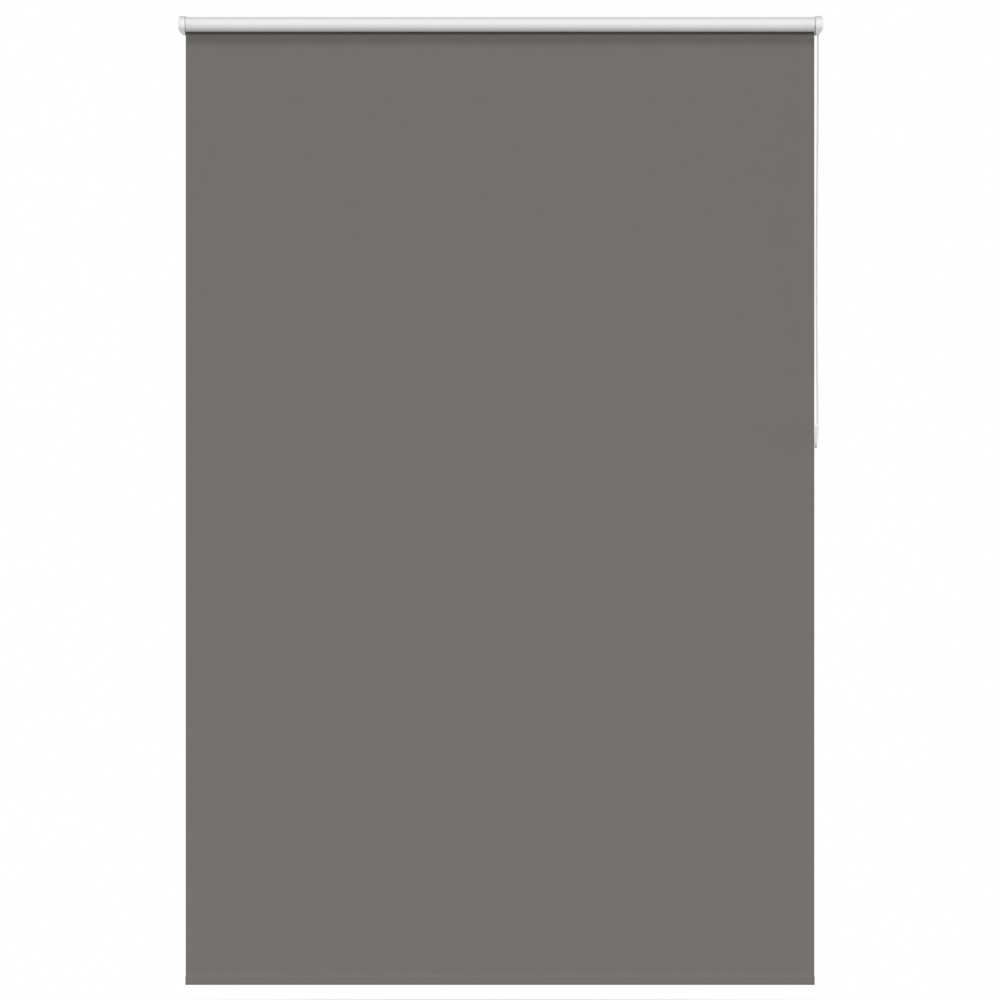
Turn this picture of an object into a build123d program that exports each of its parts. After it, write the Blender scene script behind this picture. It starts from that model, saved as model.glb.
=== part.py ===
"""A chain-operated roller blind, lowered, as separate pieces. Millimetres.

+X runs along the roller to the control side, +Y towards the wall and +Z up. The origin lies on the
wall plane, half way between the two brackets' outer faces, at the height of the roller's axis.
"""
from build123d import *
import os
from math import cos, pi, radians, sin, tan

os.makedirs("parts", exist_ok=True)

# ---- Brackets and covers -------------------------------------------------------------------------
OUTER = 750.0  # half the width over the two covers
AXIS_Y = -33.0  # the roller's axis in front of the wall
BRACKET_TOP = 19.5
BRACKET_BOTTOM = -24.8
BRACKET_DEPTH = 62.5
FRONT_TOP_R = 21.0  # corners seen from the side
FRONT_BOTTOM_R = 3.0
KNEE_Z = -8.5  # under this height the front slopes back
KNEE_R = 12.0
KNEE_SLOPE = radians(33)
END_TOP_R = 8.0  # corners seen from the front
END_BOTTOM_R = 18.0
RIM_R = 2.8  # round the outer end face
PLATE = 2.4
COVER_WALL = 1.8
COVER_GAP = 0.2
SIDE_PLATE_OUT = OUTER - COVER_WALL - COVER_GAP
SIDE_PLATE_IN = SIDE_PLATE_OUT - PLATE
TOP_PLATE_REACH = 30.0
SCREW_X = 740.4  # wall and ceiling screws, from the middle of the blind
SCREW_Z = 12.5
SCREW_Y = -14.0
SCREW_HOLE_R = 2.25
CONTROL_WALL_EDGE = 728.0  # the plates' and covers' edges that face the roller
CONTROL_COVER_EDGE = 733.6
IDLE_WALL_EDGE = 731.0
IDLE_COVER_EDGE = 734.9
CHAIN_OPENING = ((732.6, 742.6), (-50.5, -8.0), (-25.8, -14.0))

# ---- Roller --------------------------------------------------------------------------------------
TUBE_R = 17.0
TUBE_WALL = 1.2
TUBE_LEFT = -722.0
TUBE_RIGHT = 718.0
COLLAR_LEFT = -733.8  # outer faces of the two end plugs' collars
COLLAR_RIGHT = 731.4
COLLAR_HOLLOW_R = 15.0
COLLAR_HOLLOW = 5.0
PLUG_R = 15.5
PLUG_DEPTH = 28.0
RIB_IN = 13.6  # ribs inside the tube that drive the plugs
RIB_OUT = 16.4
RIB_WIDTH = 2.4
GROOVE_ANGLE = 70.0  # the fabric's groove, from the back of the tube towards its top
GROOVE_WIDTH = 7.2
GROOVE_IN = 11.6
CHANNEL_R = 1.5
CHANNEL_AT = 14.0
SLOT_WIDTH = 1.4
KEY_PLAY = 0.4

# ---- Chain and clutch ----------------------------------------------------------------------------
BEAD_R = 2.2
CHAIN_D = 4.5
BEADS_ROUND = 14  # bead pockets in the sprocket
PITCH_R = 13.4
CHAIN_X = 738.8  # the plane of the sprocket's pockets
SPROCKET_CORE_R = 12.3
SPROCKET_RIM_R = 14.7
SPROCKET = (735.2, 742.4)
RIM = 0.8
POCKET_R = 2.45
HUB_R = 16.9
HUB_BACK = 743.0
HUB_CUT = -13.5  # the hub ends flat under this height
GUIDE_R = 15.9  # inside of the guide's rim round the chain
GUIDE = (732.6, 734.4)
GUIDE_BORE_R = 9.8
JOURNAL_R = 8.0
JOURNAL_END = 735.6
SPINDLE_R = 5.5
SPINDLE_END = 697.0
KEY = 10.0  # square key of the hub in the control bracket
RUNNING = 0.08  # radial clearance of a running fit
CLUTCH = (707.0, 727.0)  # where the clutch's two tongues overlap

# ---- Idle end ------------------------------------------------------------------------------------
PIN_R = 6.0
PIN_SHOULDER = -740.0
PIN_IN = -711.0
PIN_KEY = 7.0
BORE_END = -694.0

# ---- Fabric and hem ------------------------------------------------------------------------------
FABRIC_LEFT = -733.6
FABRIC_RIGHT = 730.8
FABRIC = 0.3
FABRIC_FRONT = AXIS_Y + TUBE_R + 0.3  # the hanging fabric just clears the back of the tube
HEM_Y = FABRIC_FRONT + FABRIC / 2
HEM_TOP = -2207.0
BAR_Z = -2227.4
BAR_HEIGHT = 18.0
BAR_DEPTH = 6.0
BAR_WALL = 1.0
END_CAP = 0.8

# ---- Chain weight --------------------------------------------------------------------------------
# The weight is drawn upright and then leans inward about the middle of its top.
WEIGHT_X = 737.4
WEIGHT_THICK = 7.2
WEIGHT_WIDTH = 27.0
WEIGHT_HEIGHT = 53.0
WEIGHT_TOP = -933.0
WEIGHT_LEAN = 4.3  # degrees
TAPER = 28.0  # the casing thins below this depth
TIP_THICK = 4.4
PULLEY_Z = -950.0
PULLEY_PITCH_R = 9.0
CHANNEL = 2.7  # the pulley's and the chain's room, each way from the middle
WEIGHT_SCREW_Z = WEIGHT_TOP - 2.6
SLUG_THICK = 2.6
SLUG_WIDTH = 14.0
SLUG_Z = (-980.4, -963.8)

# The chain's free loop: X, distance in front of or behind the roller's axis, and Z, from the
# sprocket down to the weight. It bows a little sideways under its own set.
CHAIN_DOWN = [
    (738.8, 13.4, -7),
    (738.9, 12.9, -150),
    (737.0, 12.0, -350),
    (735.4, 11.2, -560),
    (736.3, 10.3, -742),
    (737.4, 9.5, -880),
    (WEIGHT_X + 8 * tan(radians(WEIGHT_LEAN)), 9.0, WEIGHT_TOP + 8),
    (WEIGHT_X - 26 * sin(radians(WEIGHT_LEAN)), 9.0, WEIGHT_TOP - 26 * cos(radians(WEIGHT_LEAN))),
]



def block(x, y, z, mode=Mode.ADD):
    """A box between two X, two Y and two Z values."""
    with Locations([((x[0] + x[1]) / 2, (y[0] + y[1]) / 2, (z[0] + z[1]) / 2)]):
        Box(abs(x[1] - x[0]), abs(y[1] - y[0]), abs(z[1] - z[0]), mode=mode)


def round_bar(x, radius, mode=Mode.ADD, y=AXIS_Y, z=0):
    """A cylinder along X between two X values, on the roller's axis unless another is given."""
    with Locations([((x[0] + x[1]) / 2, y, z)]):
        Cylinder(radius, abs(x[1] - x[0]), rotation=(0, 90, 0), mode=mode)


def ring_sector(x, inner_r, outer_r, start, end):
    """A face square to the roller's axis: a ring from one angle to another, 0 at the back."""
    centre = (AXIS_Y, 0)
    with BuildSketch(Plane.YZ.offset(x)) as sector:
        with BuildLine():
            outside = CenterArc(centre, outer_r, start, end - start)
            inside = CenterArc(centre, inner_r, start, end - start)
            Line(outside @ 0, inside @ 0)
            Line(outside @ 1, inside @ 1)
        make_face()
    return sector.sketch


def bracket_form(side, edge, inset):
    """The rounded block that a bracket and its cover share, set in by a wall's thickness."""
    top = BRACKET_TOP - inset
    bottom = BRACKET_BOTTOM + inset
    front = inset - BRACKET_DEPTH
    knee = KNEE_Z + inset * tan(KNEE_SLOPE / 2)
    foot = front + (knee - bottom) * tan(KNEE_SLOPE)
    outer = side * (OUTER - inset)
    inner = side * (OUTER - 2 * END_BOTTOM_R)
    with BuildPart() as form:
        with BuildSketch(Plane.YZ.offset(side * edge)):
            with BuildLine():
                FilletPolyline(
                    (0, bottom),
                    (foot, bottom),
                    (front, knee),
                    (front, top),
                    (0, top),
                    radius=[0, FRONT_BOTTOM_R - inset, KNEE_R - inset, FRONT_TOP_R - inset, 0],
                    close=True,
                )
            make_face()
        extrude(amount=side * (OUTER - inset - edge))
        rim = form.faces().sort_by(Axis.X)[-1 if side > 0 else 0].edges()
        fillet(rim.filter_by(lambda e: e.center().Y < 0), RIM_R - inset)
        with BuildSketch(Plane.XZ):
            with BuildLine():
                FilletPolyline(
                    (inner, bottom),
                    (outer, bottom),
                    (outer, top),
                    (inner, top),
                    radius=[0, END_BOTTOM_R - inset, END_TOP_R - inset, 0],
                    close=True,
                )
            make_face()
        extrude(amount=BRACKET_DEPTH, mode=Mode.INTERSECT)
    return form.part


def bracket_angle(side, wall_edge, cover_edge):
    """A bracket's three plates: on the wall, under the ceiling and beside the roller."""
    with BuildPart() as plates:
        block((side * wall_edge, side * SIDE_PLATE_OUT), (-PLATE, 0), (BRACKET_BOTTOM, BRACKET_TOP))
        block(
            (side * cover_edge, side * SIDE_PLATE_OUT),
            (-TOP_PLATE_REACH, 0),
            (BRACKET_TOP - PLATE, BRACKET_TOP),
        )
        add(bracket_form(side, wall_edge, 0), mode=Mode.INTERSECT)
    with BuildPart() as angle:
        block(
            (side * SIDE_PLATE_IN, side * SIDE_PLATE_OUT),
            (-BRACKET_DEPTH, 0),
            (BRACKET_BOTTOM, BRACKET_TOP),
        )
        add(bracket_form(side, wall_edge, COVER_WALL + COVER_GAP), mode=Mode.INTERSECT)
        add(plates.part)
        # a gusset in the corner between the wall plate and the side plate
        with BuildSketch(Plane.XY.offset(-1.5)):
            with BuildLine():
                Polyline(
                    (side * SIDE_PLATE_IN, -PLATE),
                    (side * (SIDE_PLATE_IN - 8), -PLATE),
                    (side * SIDE_PLATE_IN, -PLATE - 6),
                    close=True,
                )
            make_face()
        extrude(amount=3)
        with Locations(
            Location((side * SCREW_X, -PLATE / 2, SCREW_Z), (90, 0, 0)),
            Location((side * SCREW_X, -PLATE / 2, -SCREW_Z), (90, 0, 0)),
            Location((side * SCREW_X, SCREW_Y, BRACKET_TOP - PLATE / 2)),
        ):
            Cylinder(SCREW_HOLE_R, PLATE + 1, mode=Mode.SUBTRACT)
    return angle.part


def cover_shell(side, edge):
    """A cover: a thin cap, open towards the roller and the wall, that clears the bracket's plates."""
    inside = side * (edge - 1)
    past_plate = side * (SIDE_PLATE_OUT + COVER_GAP)
    with BuildPart() as shell:
        add(bracket_form(side, edge, 0))
        add(bracket_form(side, edge, COVER_WALL), mode=Mode.SUBTRACT)
        block(
            (inside, past_plate),
            (-PLATE - COVER_GAP, 0),
            (BRACKET_BOTTOM - 1, BRACKET_TOP + 1),
            Mode.SUBTRACT,
        )
        block(
            (inside, past_plate),
            (-TOP_PLATE_REACH - COVER_GAP, 0),
            (BRACKET_TOP - PLATE - COVER_GAP, BRACKET_TOP + 1),
            Mode.SUBTRACT,
        )
        # two ribs inside the end wall that rest on the side plate
        for z in (-9.0, 9.0):
            block(
                (side * SIDE_PLATE_OUT, side * (OUTER - COVER_WALL / 2)),
                (-46.0, -20.0),
                (z - 0.5, z + 0.5),
            )
    return shell.part


# ---- Fixed pieces --------------------------------------------------------------------------------
with BuildPart() as idle_bracket:
    add(bracket_angle(-1, IDLE_WALL_EDGE, IDLE_COVER_EDGE))
    socket = PIN_KEY + 0.3
    block(
        (-SIDE_PLATE_IN + 1, -SIDE_PLATE_OUT - 1),
        (AXIS_Y - socket / 2, AXIS_Y + socket / 2),
        (-socket / 2, socket / 2),
        Mode.SUBTRACT,
    )
idle_bracket.part.label = "idle_bracket"
export_step(idle_bracket.part, "parts/idle_bracket.step")

with BuildPart() as idle_bracket_cover:
    add(cover_shell(-1, IDLE_COVER_EDGE))
idle_bracket_cover.part.label = "idle_bracket_cover"
export_step(idle_bracket_cover.part, "parts/idle_bracket_cover.step")

with BuildPart() as control_bracket:
    add(bracket_angle(1, CONTROL_WALL_EDGE, CONTROL_COVER_EDGE))
    block(
        (SIDE_PLATE_IN - 1, SIDE_PLATE_OUT + 1),
        (AXIS_Y - KEY / 2 - 0.1, AXIS_Y + KEY / 2 + 0.1),
        (-KEY / 2 - 0.1, KEY / 2 + 0.1),
        Mode.SUBTRACT,
    )
control_bracket.part.label = "control_bracket"
export_step(control_bracket.part, "parts/control_bracket.step")

with BuildPart() as control_bracket_cover:
    add(cover_shell(1, CONTROL_COVER_EDGE))
    # the way out for the two strands of the chain
    block(*CHAIN_OPENING, Mode.SUBTRACT)
control_bracket_cover.part.label = "control_bracket_cover"
export_step(control_bracket_cover.part, "parts/control_bracket_cover.step")

with BuildPart() as clutch_hub:
    round_bar((HUB_BACK, SIDE_PLATE_IN), HUB_R)
    chamfer(clutch_hub.edges().group_by(Axis.X)[-1], 1.0)  # clears the cover's rounded end
    block((HUB_BACK - 1, SIDE_PLATE_IN + 1), (-60, 0), (-HUB_R - 1, HUB_CUT), Mode.SUBTRACT)
    round_bar((JOURNAL_END, HUB_BACK), JOURNAL_R)
    round_bar((SPINDLE_END, JOURNAL_END), SPINDLE_R)
    block(
        (SIDE_PLATE_IN, SIDE_PLATE_OUT),
        (AXIS_Y - KEY / 2, AXIS_Y + KEY / 2),
        (-KEY / 2, KEY / 2),
    )
    round_bar((SPINDLE_END - 1, SPINDLE_END + 18), 1.75, Mode.SUBTRACT)
clutch_hub.part.label = "clutch_hub"
export_step(clutch_hub.part, "parts/clutch_hub.step")

with BuildPart() as chain_guide:
    round_bar(GUIDE, HUB_R)
    round_bar((GUIDE[0] - 1, GUIDE[1] + 1), GUIDE_BORE_R, Mode.SUBTRACT)
    extrude(ring_sector(GUIDE[1], GUIDE_R, HUB_R, -4, 184), amount=HUB_BACK - GUIDE[1])
chain_guide.part.label = "chain_guide"
export_step(chain_guide.part, "parts/chain_guide.step")

with BuildPart() as clutch_springs:
    for start in (708.5, 717.5):
        with BuildLine() as coil:
            Helix(1.15, 6.9, 6.15, center=(start, AXIS_Y, 0), direction=(1, 0, 0))
        with BuildSketch(Plane(coil.line @ 0, z_dir=coil.line % 0)):
            Circle(0.5)
        sweep(path=coil.line, is_frenet=True)
clutch_springs.part.label = "clutch_springs"
export_step(clutch_springs.part, "parts/clutch_springs.step")

with BuildPart() as clutch_washer:
    round_bar((696.0, SPINDLE_END), 7.6)
    round_bar((695.0, SPINDLE_END + 1), 1.9, Mode.SUBTRACT)
clutch_washer.part.label = "clutch_washer"
export_step(clutch_washer.part, "parts/clutch_washer.step")

with BuildPart() as clutch_screw:
    round_bar((693.6, 696.0), 3.4)
    fillet(clutch_screw.edges().group_by(Axis.X)[0], 1.0)
    round_bar((696.0, SPINDLE_END + 15), 1.7)
    block((693.0, 694.6), (AXIS_Y - 2.2, AXIS_Y + 2.2), (-0.35, 0.35), Mode.SUBTRACT)
    block((693.0, 694.6), (AXIS_Y - 0.35, AXIS_Y + 0.35), (-2.2, 2.2), Mode.SUBTRACT)
clutch_screw.part.label = "clutch_screw"
export_step(clutch_screw.part, "parts/clutch_screw.step")

with BuildPart() as fabric_panel:
    block((FABRIC_LEFT, FABRIC_RIGHT), (FABRIC_FRONT, FABRIC_FRONT + FABRIC), (HEM_TOP + 0.3, -0.3))
fabric_panel.part.label = "fabric_panel"
export_step(fabric_panel.part, "parts/fabric_panel.step")


# ---- Pieces that turn with the roller ------------------------------------------------------------
def cut_keyways(x):
    """Cut the slots of an end plug that take the tube's ribs and its fabric groove."""
    with BuildSketch(Plane.YZ.offset(x[0])) as keyways:
        with Locations((AXIS_Y, 0)):
            with PolarLocations(RIB_OUT, 4, start_angle=GROOVE_ANGLE):
                Rectangle(2 * (RIB_OUT - RIB_IN + KEY_PLAY), RIB_WIDTH + KEY_PLAY)
            with PolarLocations(RIB_OUT, 1, start_angle=GROOVE_ANGLE):
                Rectangle(2 * (RIB_OUT - GROOVE_IN + KEY_PLAY), GROOVE_WIDTH + KEY_PLAY)
    extrude(keyways.sketch, amount=x[1] - x[0], mode=Mode.SUBTRACT)


with BuildPart() as roller_tube:
    with BuildSketch(Plane.YZ.offset(TUBE_LEFT)):
        with Locations((AXIS_Y, 0)):
            Circle(TUBE_R)
            Circle(TUBE_R - TUBE_WALL, mode=Mode.SUBTRACT)
            with PolarLocations((RIB_IN + RIB_OUT) / 2, 4, start_angle=GROOVE_ANGLE):
                Rectangle(RIB_OUT - RIB_IN, RIB_WIDTH)
            with PolarLocations((GROOVE_IN + RIB_OUT) / 2, 1, start_angle=GROOVE_ANGLE):
                Rectangle(RIB_OUT - GROOVE_IN, GROOVE_WIDTH)
            with PolarLocations(CHANNEL_AT, 1, start_angle=GROOVE_ANGLE):
                Circle(CHANNEL_R, mode=Mode.SUBTRACT)
            with PolarLocations((CHANNEL_AT + TUBE_R + 1) / 2, 1, start_angle=GROOVE_ANGLE):
                Rectangle(TUBE_R + 1 - CHANNEL_AT, SLOT_WIDTH, mode=Mode.SUBTRACT)
    extrude(amount=TUBE_RIGHT - TUBE_LEFT)
roller_tube.part.label = "roller_tube"
export_step(roller_tube.part, "parts/roller_tube.step")

with BuildPart() as drive_plug:
    round_bar((TUBE_RIGHT - PLUG_DEPTH, TUBE_RIGHT), PLUG_R)
    cut_keyways((TUBE_RIGHT - PLUG_DEPTH - 1, TUBE_RIGHT))
    round_bar((TUBE_RIGHT, COLLAR_RIGHT), TUBE_R)
    fillet(drive_plug.edges().group_by(Axis.X)[-1], 0.6)
    # a ring-shaped hollow in the collar's outer face, the clutch's bore and its end bearing
    round_bar((COLLAR_RIGHT - COLLAR_HOLLOW, COLLAR_RIGHT + 1), COLLAR_HOLLOW_R, Mode.SUBTRACT)
    round_bar((COLLAR_RIGHT - COLLAR_HOLLOW, COLLAR_RIGHT), 11.2)
    round_bar((704.0, COLLAR_RIGHT + 1), 9.2, Mode.SUBTRACT)
    round_bar((697.6, 705.0), SPINDLE_R + RUNNING, Mode.SUBTRACT)
    round_bar((TUBE_RIGHT - PLUG_DEPTH - 1, 697.6), 8.4, Mode.SUBTRACT)
    extrude(ring_sector(CLUTCH[0], 7.4, 9.4, 200, 340), amount=CLUTCH[1] - CLUTCH[0])
drive_plug.part.label = "drive_plug"
export_step(drive_plug.part, "parts/drive_plug.step")

with BuildPart() as sprocket:
    round_bar(SPROCKET, SPROCKET_CORE_R)
    round_bar((SPROCKET[0], SPROCKET[0] + RIM), SPROCKET_RIM_R)
    round_bar((SPROCKET[1] - RIM, SPROCKET[1]), SPROCKET_RIM_R)
    round_bar((SPROCKET[0] - 1, SPROCKET[1] + 1), JOURNAL_R + RUNNING, Mode.SUBTRACT)
    with Locations(Plane.YZ.offset(CHAIN_X)):
        with Locations((AXIS_Y, 0)):
            with PolarLocations(PITCH_R, BEADS_ROUND):
                Sphere(POCKET_R, mode=Mode.SUBTRACT)
    # the half sleeve that releases the clutch's springs
    extrude(ring_sector(CLUTCH[0], 7.3, 8.7, 20, 160), amount=SPROCKET[0] + 0.3 - CLUTCH[0])
sprocket.part.label = "sprocket"
export_step(sprocket.part, "parts/sprocket.step")

with BuildPart() as chain_beads_on_sprocket:
    with Locations(Plane.YZ.offset(CHAIN_X)):
        with Locations((AXIS_Y, 0)):
            with PolarLocations(PITCH_R, BEADS_ROUND // 2 + 1, angular_range=180, endpoint=True):
                Sphere(BEAD_R)
chain_beads_on_sprocket.part.label = "chain_beads_on_sprocket"
export_step(chain_beads_on_sprocket.part, "parts/chain_beads_on_sprocket.step")

with BuildPart() as idle_plug:
    round_bar((TUBE_LEFT, TUBE_LEFT + PLUG_DEPTH + 2), PLUG_R)
    cut_keyways((TUBE_LEFT, TUBE_LEFT + PLUG_DEPTH + 3))
    round_bar((COLLAR_LEFT, TUBE_LEFT), TUBE_R)
    fillet(idle_plug.edges().group_by(Axis.X)[0], 0.6)
    # a ring-shaped hollow in the collar's outer face, then the pin's bore
    round_bar((COLLAR_LEFT - 1, COLLAR_LEFT + COLLAR_HOLLOW), COLLAR_HOLLOW_R, Mode.SUBTRACT)
    round_bar((COLLAR_LEFT, COLLAR_LEFT + COLLAR_HOLLOW), 8.6)
    round_bar((COLLAR_LEFT - 1, BORE_END), PIN_R + RUNNING, Mode.SUBTRACT)
idle_plug.part.label = "idle_plug"
export_step(idle_plug.part, "parts/idle_plug.step")

with BuildPart() as fabric_spline:
    with BuildSketch(Plane.YZ.offset(TUBE_LEFT + 5)):
        with Locations((AXIS_Y, 0)):
            with PolarLocations(CHANNEL_AT, 1, start_angle=GROOVE_ANGLE):
                Circle(CHANNEL_R - FABRIC - 0.1)
    extrude(amount=TUBE_RIGHT - TUBE_LEFT - 10)
fabric_spline.part.label = "fabric_spline"
export_step(fabric_spline.part, "parts/fabric_spline.step")

with BuildPart() as fabric_wrap:
    skin = ring_sector(FABRIC_LEFT, TUBE_R + 0.05, TUBE_R + 0.05 + FABRIC, 0, GROOVE_ANGLE)
    extrude(skin, amount=FABRIC_RIGHT - FABRIC_LEFT)
    # the edge that is tucked into the tube's slot
    with BuildSketch(Plane.YZ.offset(TUBE_LEFT)):
        with Locations((AXIS_Y, 0)):
            with PolarLocations((CHANNEL_AT + 1.3 + TUBE_R + 0.2) / 2, 1, start_angle=GROOVE_ANGLE - 0.5):
                Rectangle(TUBE_R + 0.2 - CHANNEL_AT - 1.3, FABRIC)
    extrude(amount=TUBE_RIGHT - TUBE_LEFT)
fabric_wrap.part.label = "fabric_wrap"
export_step(fabric_wrap.part, "parts/fabric_wrap.step")


# ---- Hem bar -------------------------------------------------------------------------------------
def hem_section(x, height, depth):
    """An oval square to the roller's axis, round the middle of the hem bar."""
    with BuildSketch(Plane.YZ.offset(x)) as section:
        with Locations((HEM_Y, BAR_Z)):
            SlotOverall(height, depth, rotation=90)
    return section.sketch


def pocket_section(x, play, apex):
    """The outline that fabric takes round the hem bar, drawn together to a seam at its top."""
    with BuildSketch(Plane.YZ.offset(x)) as section:
        with Locations((HEM_Y, BAR_Z)):
            SlotOverall(BAR_HEIGHT + 2 * play, BAR_DEPTH + 2 * play, rotation=90)
        with Locations((HEM_Y, apex - 1)):
            Rectangle(2 * play, 2)
        make_hull()
    return section.sketch


with BuildPart() as hem_bar:
    extrude(hem_section(FABRIC_LEFT + 0.6, BAR_HEIGHT, BAR_DEPTH), amount=FABRIC_RIGHT - FABRIC_LEFT - 1.2)
    hollow = hem_section(FABRIC_LEFT, BAR_HEIGHT - 2 * BAR_WALL, BAR_DEPTH - 2 * BAR_WALL)
    extrude(hollow, amount=FABRIC_RIGHT - FABRIC_LEFT, mode=Mode.SUBTRACT)
hem_bar.part.label = "hem_bar"
export_step(hem_bar.part, "parts/hem_bar.step")

with BuildPart() as hem_sleeve:
    extrude(pocket_section(FABRIC_LEFT, 0.1 + FABRIC, HEM_TOP), amount=FABRIC_RIGHT - FABRIC_LEFT)
    hollow = pocket_section(FABRIC_LEFT - 1, 0.1, HEM_TOP - 4)
    extrude(hollow, amount=FABRIC_RIGHT - FABRIC_LEFT + 2, mode=Mode.SUBTRACT)
hem_sleeve.part.label = "hem_sleeve"
export_step(hem_sleeve.part, "parts/hem_sleeve.step")

for name, side, end in (("left", -1, FABRIC_LEFT), ("right", 1, FABRIC_RIGHT)):
    with BuildPart() as end_cap:
        extrude(hem_section(end, BAR_HEIGHT + 2, BAR_DEPTH + 1.8), amount=side * END_CAP)
        fillet(end_cap.edges().group_by(Axis.X)[-1 if side > 0 else 0], 0.5)
        stem = hem_section(end, BAR_HEIGHT - 2 * BAR_WALL - 0.3, BAR_DEPTH - 2 * BAR_WALL - 0.3)
        extrude(stem, amount=-side * 9)
    end_cap.part.label = f"hem_end_cap_{name}"
    export_step(end_cap.part, f"parts/hem_end_cap_{name}.step")

# ---- Spring-loaded pin at the idle end -----------------------------------------------------------
with BuildPart() as idle_pin:
    round_bar((PIN_SHOULDER, PIN_IN), PIN_R)
    block(
        (-SIDE_PLATE_OUT, PIN_SHOULDER),
        (AXIS_Y - PIN_KEY / 2, AXIS_Y + PIN_KEY / 2),
        (-PIN_KEY / 2, PIN_KEY / 2),
    )
    chamfer(idle_pin.edges().group_by(Axis.X)[0], 1.0)
idle_pin.part.label = "idle_pin"
export_step(idle_pin.part, "parts/idle_pin.step")

with BuildPart() as pin_spring:
    with BuildLine() as coil:
        Helix(2.6, 15.6, 4.4, center=(PIN_IN + 0.7, AXIS_Y, 0), direction=(1, 0, 0))
    with BuildSketch(Plane(coil.line @ 0, z_dir=coil.line % 0)):
        Circle(0.5)
    sweep(path=coil.line, is_frenet=True)
pin_spring.part.label = "pin_spring"
export_step(pin_spring.part, "parts/pin_spring.step")


# ---- Chain loop and its weight -------------------------------------------------------------------
def cord_radii(points):
    """The radius of each corner's arc: 0.45 of the shorter run over the tangent of half the turn."""
    radii = []
    for before, corner, after in zip(points, points[1:], points[2:]):
        run_in = Vector(corner) - Vector(before)
        run_out = Vector(after) - Vector(corner)
        half_turn = radians(run_in.get_angle(run_out)) / 2
        radii.append(0.45 * min(run_in.length, run_out.length) / tan(half_turn))
    return radii


front = [(x, AXIS_Y - reach, z) for x, reach, z in CHAIN_DOWN]
back = [(x, AXIS_Y + reach, z) for x, reach, z in reversed(CHAIN_DOWN)]
route = front + back
radii = cord_radii(route)
# the two corners under the pulley are one half turn round it
pulley_corners = (len(front) - 2, len(front) - 1)
for corner in pulley_corners:
    radii[corner] = PULLEY_PITCH_R - 0.01
print("chain radii:", [round(r, 1) for r in radii])

with BuildPart() as bead_chain:
    with BuildLine() as chain_line:
        FilletPolyline(*route, radius=radii)
    with BuildSketch(Plane(chain_line.line @ 0, z_dir=chain_line.line % 0)):
        Circle(CHAIN_D / 2)
    sweep(path=chain_line.line)
bead_chain.part.label = "bead_chain"
export_step(bead_chain.part, "parts/bead_chain.step")
chain_length = chain_line.wire().length
print(f"chain length {chain_length:.1f}, volume ratio",
      round(bead_chain.part.volume / (chain_length * pi * CHAIN_D**2 / 4), 4))


def save_leaning(piece, name):
    """Write a piece of the weight, which leans about the middle of its top."""
    hinge = Pos(WEIGHT_X, AXIS_Y, WEIGHT_TOP)
    leaning = piece.moved(hinge * Rot(0, WEIGHT_LEAN, 0) * hinge.inverse())
    leaning.label = name
    export_step(leaning, f"parts/{name}.step")


def weight_half(name, side):
    """Half of the weight's casing, outside or inside of the chain's plane."""
    low = WEIGHT_TOP - WEIGHT_HEIGHT
    width = WEIGHT_WIDTH / 2
    thick = WEIGHT_THICK / 2
    with BuildPart() as half:
        with BuildSketch(Plane.YZ.offset(WEIGHT_X)):
            with BuildLine():
                FilletPolyline(
                    (AXIS_Y - width, WEIGHT_TOP),
                    (AXIS_Y + width, WEIGHT_TOP),
                    (AXIS_Y + width, low),
                    (AXIS_Y - width, low),
                    radius=[3, 3, width - 0.5, width - 0.5],
                    close=True,
                )
            make_face()
        extrude(amount=side * thick)
        with BuildSketch(Plane.XZ.offset(-AXIS_Y + 20)):
            with BuildLine():
                FilletPolyline(
                    (WEIGHT_X - thick, WEIGHT_TOP),
                    (WEIGHT_X + thick, WEIGHT_TOP),
                    (WEIGHT_X + thick, WEIGHT_TOP - TAPER),
                    (WEIGHT_X + TIP_THICK / 2, low),
                    (WEIGHT_X - TIP_THICK / 2, low),
                    (WEIGHT_X - thick, WEIGHT_TOP - TAPER),
                    radius=[1.6, 1.6, 12, 1.6, 1.6, 12],
                    close=True,
                )
            make_face()
        extrude(amount=-40, mode=Mode.INTERSECT)
        # the pulley's room, the chain's two ways in and the slug's pocket
        round_bar((WEIGHT_X - CHANNEL, WEIGHT_X + CHANNEL), 12.2, Mode.SUBTRACT, z=PULLEY_Z)
        with Locations(
            (WEIGHT_X, AXIS_Y - PULLEY_PITCH_R, (WEIGHT_TOP + PULLEY_Z) / 2),
            (WEIGHT_X, AXIS_Y + PULLEY_PITCH_R, (WEIGHT_TOP + PULLEY_Z) / 2),
        ):
            Cylinder(CHANNEL, WEIGHT_TOP - PULLEY_Z + 1, mode=Mode.SUBTRACT)
        block(
            (WEIGHT_X - SLUG_THICK / 2 - 0.1, WEIGHT_X + SLUG_THICK / 2 + 0.1),
            (AXIS_Y - SLUG_WIDTH / 2 - 0.2, AXIS_Y + SLUG_WIDTH / 2 + 0.2),
            (SLUG_Z[0] - 0.2, SLUG_Z[1] + 0.2),
            Mode.SUBTRACT,
        )
        round_bar((WEIGHT_X - 3.1, WEIGHT_X + 3.1), 1.5, Mode.SUBTRACT, z=PULLEY_Z)
        # the screw's hole, with room for its head on the outer half
        round_bar((WEIGHT_X - 2.9, WEIGHT_X + 5), 1.1, Mode.SUBTRACT, z=WEIGHT_SCREW_Z)
        round_bar((WEIGHT_X + CHANNEL, WEIGHT_X + 5), 1.9, Mode.SUBTRACT, z=WEIGHT_SCREW_Z)
    save_leaning(half.part, name)


weight_half("weight_shell_inner", -1)
weight_half("weight_shell_outer", 1)

with BuildPart() as weight_pin:
    round_bar((WEIGHT_X - 3.1, WEIGHT_X + 3.1), 1.45, z=PULLEY_Z)
save_leaning(weight_pin.part, "weight_pin")

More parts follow.
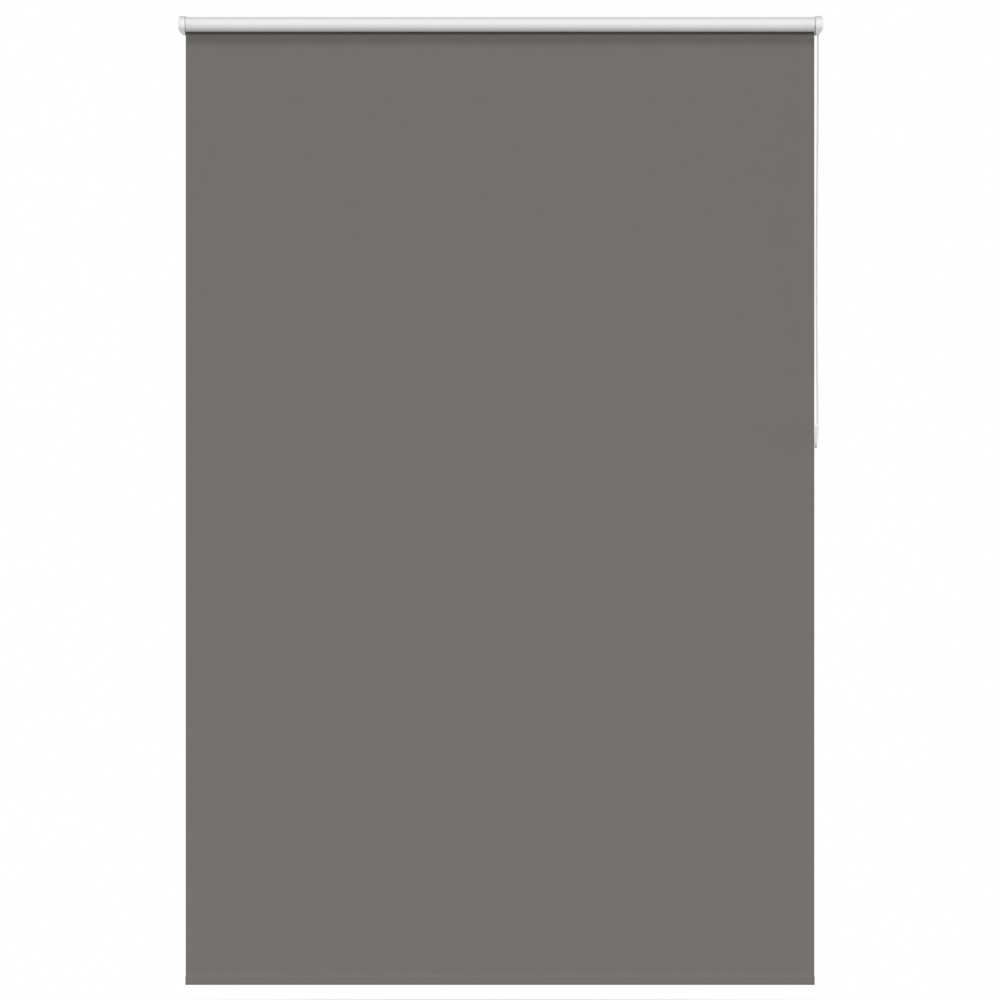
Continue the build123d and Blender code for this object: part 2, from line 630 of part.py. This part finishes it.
with BuildPart() as guide_pulley:
    with BuildSketch(Plane.XZ.offset(-AXIS_Y)):
        with BuildLine():
            Polyline(
                (WEIGHT_X - 2.4, PULLEY_Z + 1.45 + RUNNING),
                (WEIGHT_X - 2.4, PULLEY_Z + 7.4),
                (WEIGHT_X - 1.9, PULLEY_Z + 7.4),
                (WEIGHT_X - 1.0, PULLEY_Z + 6.2),
                (WEIGHT_X + 1.0, PULLEY_Z + 6.2),
                (WEIGHT_X + 1.9, PULLEY_Z + 7.4),
                (WEIGHT_X + 2.4, PULLEY_Z + 7.4),
                (WEIGHT_X + 2.4, PULLEY_Z + 1.45 + RUNNING),
                close=True,
            )
        make_face()
    revolve(axis=Axis((0, AXIS_Y, PULLEY_Z), (1, 0, 0)))
save_leaning(guide_pulley.part, "guide_pulley")

with BuildPart() as weight_slug:
    block(
        (WEIGHT_X - SLUG_THICK / 2, WEIGHT_X + SLUG_THICK / 2),
        (AXIS_Y - SLUG_WIDTH / 2, AXIS_Y + SLUG_WIDTH / 2),
        SLUG_Z,
    )
    fillet(weight_slug.edges().filter_by(Axis.X), 1.0)
save_leaning(weight_slug.part, "weight_slug")

with BuildPart() as weight_screw:
    round_bar((WEIGHT_X - CHANNEL, WEIGHT_X + CHANNEL), 1.0, z=WEIGHT_SCREW_Z)
    round_bar((WEIGHT_X + CHANNEL, WEIGHT_X + 3.5), 1.8, z=WEIGHT_SCREW_Z)
    block(
        (WEIGHT_X + 3.1, WEIGHT_X + 4),
        (AXIS_Y - 1.3, AXIS_Y + 1.3),
        (WEIGHT_SCREW_Z - 0.2, WEIGHT_SCREW_Z + 0.2),
        Mode.SUBTRACT,
    )
save_leaning(weight_screw.part, "weight_screw")
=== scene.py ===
"""A chain-operated roller blind, lowered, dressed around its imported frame.

The fabric, its hem pocket and the bead chain are made here. The frame's own pieces keep their shape
and get their finishes. Metres, in the frame's axes: +X runs along the roller to the chain, +Y to
the wall and +Z up. The roller's axis is at Z = 0.
"""

import math

import bmesh
import bpy
import numpy as np
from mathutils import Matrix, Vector


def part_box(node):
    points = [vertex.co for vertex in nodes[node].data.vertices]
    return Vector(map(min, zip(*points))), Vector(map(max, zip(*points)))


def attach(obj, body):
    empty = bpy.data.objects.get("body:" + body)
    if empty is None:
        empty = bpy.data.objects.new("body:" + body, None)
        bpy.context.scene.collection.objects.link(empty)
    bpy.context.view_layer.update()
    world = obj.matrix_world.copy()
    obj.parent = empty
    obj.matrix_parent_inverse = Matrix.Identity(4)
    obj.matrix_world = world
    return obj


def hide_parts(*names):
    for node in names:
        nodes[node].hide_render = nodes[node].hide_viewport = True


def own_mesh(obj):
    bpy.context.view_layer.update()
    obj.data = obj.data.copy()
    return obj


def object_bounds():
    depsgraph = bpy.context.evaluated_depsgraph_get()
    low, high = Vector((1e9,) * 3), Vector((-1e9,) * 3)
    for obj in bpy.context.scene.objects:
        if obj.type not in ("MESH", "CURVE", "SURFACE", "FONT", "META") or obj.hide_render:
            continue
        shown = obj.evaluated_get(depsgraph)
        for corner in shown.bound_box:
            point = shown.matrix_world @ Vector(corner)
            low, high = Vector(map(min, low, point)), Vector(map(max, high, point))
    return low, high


MM = 0.001

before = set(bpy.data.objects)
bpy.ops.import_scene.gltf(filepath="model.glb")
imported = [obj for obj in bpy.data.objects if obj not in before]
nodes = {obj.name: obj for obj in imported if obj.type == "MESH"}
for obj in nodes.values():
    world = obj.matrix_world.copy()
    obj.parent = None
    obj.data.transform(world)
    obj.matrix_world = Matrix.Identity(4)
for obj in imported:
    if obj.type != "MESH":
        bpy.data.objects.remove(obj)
cad_low, cad_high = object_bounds()


# ---- Places, read from the frame -----------------------------------------------------------------
panel_low, panel_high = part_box("fabric_panel")
pocket_low, pocket_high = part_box("hem_sleeve")
bar_low, bar_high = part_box("hem_bar")
tube_low, tube_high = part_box("roller_tube")

FABRIC = panel_high.y - panel_low.y
FABRIC_X = (panel_low.x, panel_high.x)
SHEET_Y = (panel_low.y + panel_high.y) / 2
AXIS_Y = (tube_low.y + tube_high.y) / 2
TUBE_R = (tube_high.z - tube_low.z) / 2
SEAM_Z = pocket_high.z

# ---- Fabric --------------------------------------------------------------------------------------
THREAD = 0.55 * MM
CURL = 0.7 * MM  # how far the cut edges curl to the back, and over what width
CURL_WIDTH = 9 * MM
CURL_FADE_TOP = 0.02  # the tube and the seam hold the edges flat over these heights
CURL_FADE_FOOT = 0.03
WAVE = 0.35 * MM  # height of the waves, and where the tube and the seam hold them flat
WAVE_FADE_TOP = 0.12
WAVE_FADE_FOOT = 0.25
WAVES = [  # share of the height, radians per metre across and up, and phase
    (1.0, 9.1, 0.0, 0.7),
    (0.6, 21.0, 1.3, 2.0),
    (0.4, 0.0, 4.0, 1.1),
]
STATION = 15 * MM  # grid across the cloth and down it
ROW = 16 * MM
EDGE_STATIONS = [d * MM for d in (0, 0.8, 2, 3.5, 5.5, 8, 12, 20)]  # in from a cut edge

WRAP_REACH = 0.65  # how far the wrap's middle lies off the tube, in thicknesses
WRAP_STEPS = 24
GROOVE_ANGLE = math.radians(70)
GROOVE_LIP = math.radians(2)
TUCK_DEPTH = 2.2 * MM
TUCK_TURN = math.radians(1.6)
TUCK_TURN_RATE = 2.5  # the turn is done before the tuck is
TUCK_SHARES = (0.15, 0.35, 0.6, 1.0)

WELD = 4 * MM
WELD_GAP = 0.02 * MM
POCKET_PLAY = 0.1 * MM  # between the bar and the cloth round it

# ---- Chain: X, reach in front of or behind the roller's axis, and Z ------------------------------
CHAIN_DOWN = [
    (0.7388, 0.0134, -0.007),
    (0.7389, 0.0129, -0.150),
    (0.7370, 0.0120, -0.350),
    (0.7354, 0.0112, -0.560),
    (0.7363, 0.0103, -0.742),
    (0.7374, 0.0095, -0.880),
    (0.7380, 0.0090, -0.925),
    (0.73545, 0.0090, -0.95893),
]
CHAIN_D = 4.5 * MM
BEAD_PITCH = 6 * MM
FIRST_BEAD = BEAD_PITCH / 3
STRING_R = 0.65 * MM
STRING_SIDES = 8

# ---- Picture -------------------------------------------------------------------------------------
VIEW_WIDTH = 2.3296  # the picture's width at the fabric
VIEW_DISTANCE = 30.0
VIEW_OFFSET = Vector((-0.0015, 0, 0.0017))  # of the picture's centre from the object's
SENSOR = 36.0
FLOOR_RADIUS = 12.0
FLOOR_BELOW = 0.5
FLOOR_COLOUR = (0.63, 0.63, 0.62)

# ---- Colours -------------------------------------------------------------------------------------
FABRIC_COLOUR = (0.179, 0.1698, 0.1542)
COATING_COLOUR = (0.235, 0.228, 0.214)
WHITE_PLASTIC = (0.86, 0.86, 0.855)
WHITE_LACQUER = (0.86, 0.86, 0.862)
WHITE_CHAIN = (0.87, 0.87, 0.865)
WHITE_WEIGHT = (0.80, 0.80, 0.795)
CLUTCH_PLASTIC = (0.62, 0.62, 0.60)
CAP_PLASTIC = (0.165, 0.16, 0.15)
ALUMINIUM = (0.74, 0.745, 0.75)
SPRING_STEEL = (0.46, 0.46, 0.47)
ZINC = (0.68, 0.69, 0.71)
IRON = (0.11, 0.105, 0.10)


# ---- Camera, light and floor ---------------------------------------------------------------------
def make_camera():
    """A long lens, square on, so that the blind's edges stay parallel."""
    data = bpy.data.cameras.new("camera")
    data.sensor_width = SENSOR
    data.lens = SENSOR * VIEW_DISTANCE / VIEW_WIDTH
    data.clip_end = 4 * VIEW_DISTANCE
    camera = bpy.data.objects.new("camera", data)
    camera.location = (cad_low + cad_high) / 2 + VIEW_OFFSET
    camera.location.y = SHEET_Y - VIEW_DISTANCE
    camera.rotation_euler = (math.radians(90), 0, 0)
    bpy.context.scene.collection.objects.link(camera)
    bpy.context.scene.camera = camera


def make_sun(name, azimuth, elevation, strength, width):
    """A distant softbox. Azimuth 0 is in front of the blind and 90 at its chain side."""
    data = bpy.data.lights.new(name, "SUN")
    data.energy = strength
    data.angle = math.radians(width)
    sun = bpy.data.objects.new(name, data)
    turn, rise = math.radians(azimuth), math.radians(elevation)
    towards = Vector(
        (math.sin(turn) * math.cos(rise), -math.cos(turn) * math.cos(rise), math.sin(rise))
    )
    sun.rotation_mode = "QUATERNION"
    sun.rotation_quaternion = towards.to_track_quat("Z", "Y")
    bpy.context.scene.collection.objects.link(sun)


def make_world(ambient):
    """White round the object for the camera, and a dim even light for the object itself."""
    world = bpy.data.worlds.new("studio")
    world.use_nodes = True
    tree = world.node_tree
    tree.nodes.clear()
    output = tree.nodes.new("ShaderNodeOutputWorld")
    mix = tree.nodes.new("ShaderNodeMixShader")
    path = tree.nodes.new("ShaderNodeLightPath")
    fill = tree.nodes.new("ShaderNodeBackground")
    backdrop = tree.nodes.new("ShaderNodeBackground")
    fill.inputs["Color"].default_value = (1, 1, 1, 1)
    fill.inputs["Strength"].default_value = ambient
    backdrop.inputs["Color"].default_value = (1, 1, 1, 1)
    tree.links.new(path.outputs["Is Camera Ray"], mix.inputs["Fac"])
    tree.links.new(fill.outputs[0], mix.inputs[1])
    tree.links.new(backdrop.outputs[0], mix.inputs[2])
    tree.links.new(mix.outputs[0], output.inputs["Surface"])
    bpy.context.scene.world = world


def make_floor():
    """A wide pale floor, too low to show in the front view, whose bounce fills in from below."""
    mesh = bpy.data.meshes.new("floor")
    form = bmesh.new()
    bmesh.ops.create_circle(form, cap_ends=True, segments=128, radius=FLOOR_RADIUS)
    form.to_mesh(mesh)
    form.free()
    floor = bpy.data.objects.new("floor", mesh)
    floor.location = (0, 0, cad_low.z - FLOOR_BELOW)
    bpy.context.scene.collection.objects.link(floor)
    finish = moulded("floor_finish", FLOOR_COLOUR, roughness=0.7, grain=4 * MM)
    floor.data.materials.append(finish)


# ---- Finishes ------------------------------------------------------------------------------------
class Finish:
    """A Principled material whose colour, roughness and relief are built up from noise."""

    def __init__(self, name, colour, roughness, sockets=()):
        self.material = bpy.data.materials.new(name)
        self.material.use_nodes = True
        self.tree = self.material.node_tree
        self.shader = self.tree.nodes["Principled BSDF"]
        self.colour = colour
        self.shader.inputs["Base Color"].default_value = (*colour, 1)
        self.shader.inputs["Roughness"].default_value = roughness
        for socket, value in dict(sockets).items():
            self.shader.inputs[socket].default_value = value
        self.place = self.tree.nodes.new("ShaderNodeTexCoord").outputs["Object"]

    def link(self, source, target):
        """Joins one node's output to another's input."""
        self.tree.links.new(source, target)

    def maths(self, operation, a, b=0.0):
        """One sum, whose inputs are numbers or sockets."""
        node = self.tree.nodes.new("ShaderNodeMath")
        node.operation = operation
        for slot, value in zip(node.inputs, (a, b)):
            if isinstance(value, (int, float)):
                slot.default_value = value
            else:
                self.link(value, slot)
        return node.outputs[0]

    def span(self, value, low, high):
        """A value from 0 to 1, spread from low to high."""
        return self.maths("ADD", self.maths("MULTIPLY", value, high - low), low)

    def noise(self, size, stretch=(1, 1, 1), detail=2.0):
        """Soft noise with features of about this size, drawn out along the axes by the stretch."""
        mapping = self.tree.nodes.new("ShaderNodeMapping")
        mapping.inputs["Scale"].default_value = [1 / s for s in stretch]
        self.link(self.place, mapping.inputs["Vector"])
        node = self.tree.nodes.new("ShaderNodeTexNoise")
        node.inputs["Scale"].default_value = 1 / size
        node.inputs["Detail"].default_value = detail
        self.link(mapping.outputs[0], node.inputs["Vector"])
        return node.outputs["Fac"]

    def tint(self, amount):
        """The finish's colour times a socket's value, as the base colour."""
        node = self.tree.nodes.new("ShaderNodeVectorMath")
        node.operation = "SCALE"
        node.inputs[0].default_value = self.colour
        self.link(amount, node.inputs["Scale"])
        self.link(node.outputs[0], self.shader.inputs["Base Color"])

    def relief(self, height, depth, under=None):
        """Raises the surface by a socket's value times depth, on top of an earlier relief."""
        node = self.tree.nodes.new("ShaderNodeBump")
        node.inputs["Strength"].default_value = 1.0
        node.inputs["Distance"].default_value = depth
        self.link(height, node.inputs["Height"])
        if under is not None:
            self.link(under, node.inputs["Normal"])
        self.link(node.outputs[0], self.shader.inputs["Normal"])
        return node.outputs[0]

    def roughen(self, value, low, high):
        """Spreads the roughness from low to high with a socket's value."""
        self.link(self.span(value, low, high), self.shader.inputs["Roughness"])


def moulded(name, colour, roughness, grain=0.4 * MM):
    """Moulded plastic: a fine even grain, faint flow marks and a little variation in gloss."""
    finish = Finish(name, colour, roughness)
    flow = finish.noise(18 * MM, detail=1.0)
    finish.tint(finish.span(flow, 0.985, 1.015))
    finish.roughen(finish.noise(3 * MM), roughness - 0.05, roughness + 0.05)
    finish.relief(finish.noise(grain), 0.012 * MM)
    return finish.material


def lacquer(name, colour, roughness):
    """Sprayed lacquer on an extrusion: a slight orange peel, drawn out along the tube."""
    finish = Finish(name, colour, roughness)
    finish.tint(finish.span(finish.noise(40 * MM, stretch=(6, 1, 1)), 0.99, 1.01))
    finish.roughen(finish.noise(6 * MM, stretch=(4, 1, 1)), roughness - 0.04, roughness + 0.04)
    peel = finish.relief(finish.noise(2.2 * MM, stretch=(2, 1, 1)), 0.008 * MM)
    finish.relief(finish.noise(0.5 * MM), 0.002 * MM, under=peel)
    return finish.material


def metal(name, colour, roughness, drawn=(1, 1, 1), size=0.3 * MM):
    """Bare or plated metal, with fine marks drawn out along the way that it was made."""
    finish = Finish(name, colour, roughness, {"Metallic": 1.0})
    marks = finish.noise(size, stretch=drawn, detail=3.0)
    finish.tint(finish.span(marks, 0.93, 1.05))
    finish.roughen(marks, roughness - 0.07, roughness + 0.09)
    finish.relief(marks, 0.006 * MM)
    return finish.material


def weave(name, colour):
    """Plain-woven blackout cloth: rounded thread crossings with painted shade in the gaps between
    threads, slubs both ways and a soft bloom.
    """
    finish = Finish(name, colour, 0.88, {"Sheen Weight": 0.06, "Specular IOR Level": 0.25})
    split = finish.tree.nodes.new("ShaderNodeSeparateXYZ")
    finish.link(finish.place, split.inputs[0])
    across, up = (
        finish.maths("SINE", finish.maths("MULTIPLY", split.outputs[axis], math.pi / THREAD))
        for axis in ("X", "Z")
    )
    crossing = finish.maths("ABSOLUTE", finish.maths("MULTIPLY", across, up))
    crossing = finish.maths("POWER", crossing, 0.6)
    weft = finish.noise(1.1 * MM, stretch=(60, 1, 1))
    warp = finish.noise(1.1 * MM, stretch=(1, 1, 60))
    threads = finish.maths("ADD", weft, warp)
    # painted shade: the cloth's colour darkens in the low gaps between the thread crossings
    painted_gap_shade = finish.span(crossing, 0.955, 1.02)
    thread_shade = finish.span(threads, 0.96, 1.04)
    finish.tint(finish.maths("MULTIPLY", painted_gap_shade, thread_shade))
    relief = finish.relief(crossing, 0.035 * MM)
    finish.relief(threads, 0.02 * MM, under=relief)
    return finish.material


def coating(name, colour):
    """The foam-coated back of the cloth: smooth and matt, with the weave just showing through."""
    finish = Finish(name, colour, 0.72, {"Specular IOR Level": 0.3})
    finish.tint(finish.span(finish.noise(30 * MM), 0.985, 1.015))
    pores = finish.relief(finish.noise(0.35 * MM, detail=4.0), 0.02 * MM)
    finish.relief(finish.noise(2.5 * MM, stretch=(5, 1, 1)), 0.02 * MM, under=pores)
    return finish.material


def cast(name, colour, roughness):
    """Rough cast metal with a dull skin."""
    finish = Finish(name, colour, roughness, {"Metallic": 0.6})
    finish.tint(finish.span(finish.noise(2 * MM, detail=4.0), 0.75, 1.3))
    finish.relief(finish.noise(0.9 * MM, detail=4.0), 0.12 * MM)
    return finish.material


def dress(material, *names):
    """Gives frame pieces a finish."""
    for name in names:
        data = nodes[name].data
        data.materials.clear()
        data.materials.append(material)


def make_finishes(chain_finish):
    """Every finish that the frame's own pieces need, on those pieces."""
    plastic = moulded("bracket_plastic_finish", WHITE_PLASTIC, roughness=0.48)
    dress(plastic, "idle_bracket", "control_bracket", "chain_guide", "drive_plug", "idle_plug")
    cover = moulded("cover_plastic_finish", WHITE_PLASTIC, roughness=0.45)
    dress(cover, "idle_bracket_cover", "control_bracket_cover")
    acetal = moulded("clutch_plastic_finish", CLUTCH_PLASTIC, roughness=0.45)
    dress(acetal, "clutch_hub", "sprocket", "idle_pin", "guide_pulley", "fabric_spline")
    dress(lacquer("tube_lacquer_finish", WHITE_LACQUER, roughness=0.55), "roller_tube")
    dress(chain_finish, "chain_beads_on_sprocket")
    weight = moulded("weight_plastic_finish", WHITE_WEIGHT, roughness=0.3)
    dress(weight, "weight_shell_inner", "weight_shell_outer")
    cap = moulded("end_cap_finish", CAP_PLASTIC, roughness=0.5)
    dress(cap, "hem_end_cap_left", "hem_end_cap_right")
    bar = metal("hem_aluminium_finish", ALUMINIUM, roughness=0.38, drawn=(80, 1, 1))
    dress(bar, "hem_bar")
    steel = metal("spring_steel_finish", SPRING_STEEL, roughness=0.32)
    dress(steel, "clutch_springs", "pin_spring")
    zinc = metal("zinc_finish", ZINC, roughness=0.3, size=0.6 * MM)
    dress(zinc, "clutch_washer", "clutch_screw", "weight_pin", "weight_screw")
    dress(cast("slug_iron_finish", IRON, roughness=0.7), "weight_slug")


# ---- Cloth ---------------------------------------------------------------------------------------
def cloth_stations(left, right):
    """X values across the cloth, close together at the cut edges."""
    left_edge = [left + d for d in EDGE_STATIONS]
    right_edge = [right - d for d in reversed(EDGE_STATIONS)]
    count = round((right_edge[0] - left_edge[-1]) / STATION)
    inner = np.linspace(left_edge[-1], right_edge[0], count + 1)[1:-1]
    return np.array([*left_edge, *inner, *right_edge])


def ribbon_faces(width, count):
    """A ribbon's faces and their material slots, for two grids of width by count points.

    The first grid's faces have slot 0 and the second's slot 1. The rims close the gap between them.
    """
    back = width * count
    faces, slots = [], []
    for i in range(width - 1):
        for j in range(count - 1):
            a, b = i * count + j, (i + 1) * count + j
            c, d = b + 1, a + 1
            faces += [(a, b, c, d), (back + d, back + c, back + b, back + a)]
            slots += [0, 1]
        for j in (0, count - 1):
            a, b = i * count + j, (i + 1) * count + j
            rim = (a, back + a, back + b, b)
            faces.append(rim if j == 0 else rim[::-1])
            slots.append(0)
    for i in (0, width - 1):
        for j in range(count - 1):
            a, d = i * count + j, i * count + j + 1
            rim = (a, d, back + d, back + a)
            faces.append(rim if i == 0 else rim[::-1])
            slots.append(0)
    return faces, slots


def ribbon(name, stations, path, materials, lift=None):
    """Cloth of the fabric's thickness along a path of (Y, Z) points, the same across its width.

    The first material is on the path's left side. lift(x, z) says how far the cloth moves along Y.
    """
    path = np.array(path, float)
    steps = np.diff(path, axis=0)
    steps /= np.linalg.norm(steps, axis=1)[:, None]
    ways = np.vstack([steps[:1], steps[:-1] + steps[1:], steps[-1:]])
    ways /= np.linalg.norm(ways, axis=1)[:, None]
    normals = np.column_stack([-ways[:, 1], ways[:, 0]])
    count, width = len(path), len(stations)
    points = []
    for side in (1, -1):
        line = path + normals * side * FABRIC / 2
        grid = np.zeros((width, count, 3))
        grid[:, :, 0] = np.array(stations)[:, None]
        grid[:, :, 1] = line[:, 0]
        grid[:, :, 2] = line[:, 1]
        if lift is not None:
            grid[:, :, 1] += lift(grid[:, :, 0], path[None, :, 1])
        points.append(grid.reshape(-1, 3))
    faces, slots = ribbon_faces(width, count)
    mesh = bpy.data.meshes.new(name)
    mesh.from_pydata(np.vstack(points).tolist(), [], faces)
    mesh.polygons.foreach_set("material_index", slots)
    for material in materials:
        mesh.materials.append(material)
    mesh.validate()
    smooth_by_angle(mesh, degrees=40)
    cloth = bpy.data.objects.new(name, mesh)
    bpy.context.scene.collection.objects.link(cloth)
    return cloth


def smooth_by_angle(mesh, degrees):
    """Smooth shading, with sharp edges where faces meet at more than the given angle."""
    form = bmesh.new()
    form.from_mesh(mesh)
    bmesh.ops.recalc_face_normals(form, faces=form.faces)
    for edge in form.edges:
        edge.smooth = len(edge.link_faces) == 2 and edge.calc_face_angle() < math.radians(degrees)
    for face in form.faces:
        face.smooth = True
    form.to_mesh(mesh)
    form.free()


def fade(distance, over):
    """0 at a distance of 0, rising smoothly to 1 over the given distance."""
    t = np.clip(distance / over, 0, 1)
    return t * t * (3 - 2 * t)


def hang(x, z):
    """How far the hanging cloth strays from flat: shallow waves, and cut edges that curl back."""
    waves = sum(
        share * np.sin(across * x + up * z + phase) for share, across, up, phase in WAVES
    )
    free = fade(-z, WAVE_FADE_TOP) * fade(z - SEAM_Z, WAVE_FADE_FOOT)
    edge = np.minimum(x - FABRIC_X[0], FABRIC_X[1] - x)
    curl = np.clip(1 - edge / CURL_WIDTH, 0, 1) ** 2
    loose = fade(-z, CURL_FADE_TOP) * fade(z - SEAM_Z, CURL_FADE_FOOT)
    return WAVE * waves * free + CURL * curl * loose


def make_panel(front, back):
    """The hanging cloth, from the back of the tube down to the hem's seam."""
    stations = cloth_stations(*FABRIC_X)
    rows = round(-SEAM_Z / ROW)
    path = [(SHEET_Y, z) for z in np.linspace(0, SEAM_Z, rows + 1)]
    panel = ribbon("fabric_sheet", stations, path, (back, front), hang)
    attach(panel, "brackets")
    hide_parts("fabric_panel")
    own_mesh(panel)


def make_wrap(front, back):
    """The cloth over the back of the tube, up to the groove where its end is tucked in."""
    close = TUBE_R + FABRIC * WRAP_REACH
    flush = SHEET_Y - AXIS_Y
    stop = GROOVE_ANGLE - GROOVE_LIP
    angles = np.linspace(0, stop, WRAP_STEPS)
    radii = flush + (close - flush) * fade(angles, stop / 2)
    path = [(AXIS_Y + r * math.cos(a), r * math.sin(a)) for a, r in zip(angles, radii)]
    wrap = ribbon("fabric_on_tube", cloth_stations(*FABRIC_X), path, (front, back))
    tuck = []
    for share in (0, *TUCK_SHARES):
        angle = stop + TUCK_TURN * min(1, TUCK_TURN_RATE * share)
        radius = close - TUCK_DEPTH * share
        tuck.append((AXIS_Y + radius * math.cos(angle), radius * math.sin(angle)))
    inside_tube = cloth_stations(tube_low.x, tube_high.x)
    tail = ribbon("fabric_tail_in_groove", inside_tube, tuck, (front, back))
    for piece in (wrap, tail):
        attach(piece, "roller")
    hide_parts("fabric_wrap")


def make_pocket(front, back):
    """The cloth folded round the hem bar and welded to itself under the seam."""
    half_depth = (bar_high.y - bar_low.y) / 2
    radius = half_depth + FABRIC / 2 + POCKET_PLAY
    top = bar_high.z - half_depth
    bottom = bar_low.z + half_depth
    weld_z = SEAM_Z - WELD
    lean = math.asin(radius / (weld_z - top))

    def turn(centre, start, end, count):
        """Points round part of the bar's top or bottom."""
        return [
            (SHEET_Y + radius * math.cos(a), centre + radius * math.sin(a))
            for a in np.linspace(start, end, count)
        ]

    down = [(SHEET_Y, z) for z in np.linspace(SEAM_Z, weld_z, 5)]
    slope_end = turn(top, math.pi - lean, math.pi, 5)
    slope = [tuple(p) for p in np.linspace(down[-1], slope_end[0], 7)[1:-1]]
    straight = [(SHEET_Y - radius, z) for z in np.linspace(top, bottom, 6)[1:-1]]
    under = turn(bottom, math.pi, 2 * math.pi, 17)
    rise = [(SHEET_Y + radius, z) for z in np.linspace(bottom, top, 6)[1:-1]]
    back_top = turn(top, 0, lean, 5)
    flap_y = SHEET_Y + FABRIC + WELD_GAP
    back_slope = [tuple(p) for p in np.linspace(back_top[-1], (flap_y, weld_z), 7)[1:]]
    flap = [(flap_y, z) for z in np.linspace(weld_z, SEAM_Z, 5)[1:]]
    path = down + slope + slope_end + straight + under + rise + back_top + back_slope + flap
    pocket = ribbon("hem_pocket", cloth_stations(*FABRIC_X), path, (back, front))
    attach(pocket, "hem")
    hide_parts("hem_sleeve")


# ---- Bead chain ----------------------------------------------------------------------------------
def spline_points(points):
    """Points along the smooth line that these control points give."""
    curve = bpy.data.curves.new("route", "CURVE")
    curve.dimensions = "3D"
    curve.resolution_u = 40
    spline = curve.splines.new("NURBS")
    spline.points.add(len(points) - 1)
    for slot, point in zip(spline.points, points):
        slot.co = (*point, 1)
    spline.order_u = 3
    spline.use_endpoint_u = True
    holder = bpy.data.objects.new("route", curve)
    mesh = bpy.data.meshes.new_from_object(holder)
    line = np.array([v.co for v in mesh.vertices])
    bpy.data.objects.remove(holder)
    bpy.data.curves.remove(curve)
    bpy.data.meshes.remove(mesh)
    return line


def walk(line, step, start=0.0):
    """Places at an even step along a line of points."""
    lengths = np.r_[0, np.cumsum(np.linalg.norm(np.diff(line, axis=0), axis=1))]
    slack = step / 6  # keeps a last place that falls just past the end
    at = np.arange(start, lengths[-1] + slack, step)
    return np.column_stack([np.interp(at, lengths, line[:, k]) for k in range(3)])


def bead_form():
    """One bead's points and faces about its centre, with its poles up and down."""
    form = bmesh.new()
    bmesh.ops.create_uvsphere(form, u_segments=14, v_segments=9, radius=CHAIN_D / 2)
    form.verts.index_update()
    points = np.array([v.co for v in form.verts])
    faces = [[v.index for v in f.verts] for f in form.faces]
    form.free()
    return points, faces


def string_form(places, first):
    """A thin round string through these places, whose points are numbered from first."""
    ways = np.gradient(places, axis=0)
    ways /= np.linalg.norm(ways, axis=1)[:, None]
    across = np.array([1.0, 0, 0])
    rings, faces = [], []
    count = first
    for i, (place, way) in enumerate(zip(places, ways)):
        u = np.cross(way, across)
        u /= np.linalg.norm(u)
        v = np.cross(way, u)
        ring = [
            place + STRING_R * (math.cos(a) * u + math.sin(a) * v)
            for a in np.linspace(0, 2 * math.pi, STRING_SIDES, endpoint=False)
        ]
        rings.append(np.array(ring))
        if i:
            for k in range(STRING_SIDES):
                m = (k + 1) % STRING_SIDES
                before = count - STRING_SIDES
                faces.append([before + k, before + m, count + m, count + k])
        count += STRING_SIDES
    faces.append(list(range(first, first + STRING_SIDES)))
    faces.append(list(range(count - 1, count - STRING_SIDES - 1, -1)))
    return rings, faces


def make_chain(finish):
    """The bead chain's free loop: even beads on a thin string, round the weight's pulley."""
    front = [(x, AXIS_Y - reach, z) for x, reach, z in CHAIN_DOWN]
    back = [(x, AXIS_Y + reach, z) for x, reach, z in reversed(CHAIN_DOWN)]
    line = spline_points(front + back)
    bead, bead_faces = bead_form()
    points, faces = [], []
    for number, centre in enumerate(walk(line, BEAD_PITCH, start=FIRST_BEAD)):
        points.append(bead + centre)
        faces += [[number * len(bead) + i for i in f] for f in bead_faces]
    string = walk(line, BEAD_PITCH / 2)
    rings, string_faces = string_form(string, first=len(points) * len(bead))
    mesh = bpy.data.meshes.new("bead_chain_loop")
    mesh.from_pydata(np.vstack(points + rings).tolist(), [], faces + string_faces)
    mesh.materials.append(finish)
    smooth_by_angle(mesh, degrees=60)
    chain = bpy.data.objects.new("bead_chain_loop", mesh)
    bpy.context.scene.collection.objects.link(chain)
    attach(chain, "chain_loop")
    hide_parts("bead_chain")


def compress_pin_spring():
    """Gives the pin spring a mesh of its own."""
    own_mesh(nodes["pin_spring"])


# ---- Making --------------------------------------------------------------------------------------
bpy.context.scene.view_settings.view_transform = "Standard"
make_camera()
chain_plastic = moulded("chain_plastic_finish", WHITE_CHAIN, roughness=0.28, grain=0.8 * MM)
make_chain(chain_plastic)
make_world(ambient=0.05)
make_sun("key", azimuth=0, elevation=17, strength=1.25, width=10)
make_sun("top", azimuth=0, elevation=50, strength=1.12, width=18)
make_sun("left", azimuth=-78, elevation=4, strength=0.85, width=50)
make_sun("right", azimuth=78, elevation=4, strength=0.85, width=50)
make_sun("behind_left", azimuth=220, elevation=11, strength=1.0, width=30)
make_sun("behind_right", azimuth=140, elevation=11, strength=0.8, width=30)
make_floor()
make_finishes(chain_plastic)
compress_pin_spring()
cloth_front = weave("fabric_front_finish", FABRIC_COLOUR)
cloth_back = coating("fabric_back_finish", COATING_COLOUR)
make_panel(cloth_front, cloth_back)
make_wrap(cloth_front, cloth_back)
make_pocket(cloth_front, cloth_back)
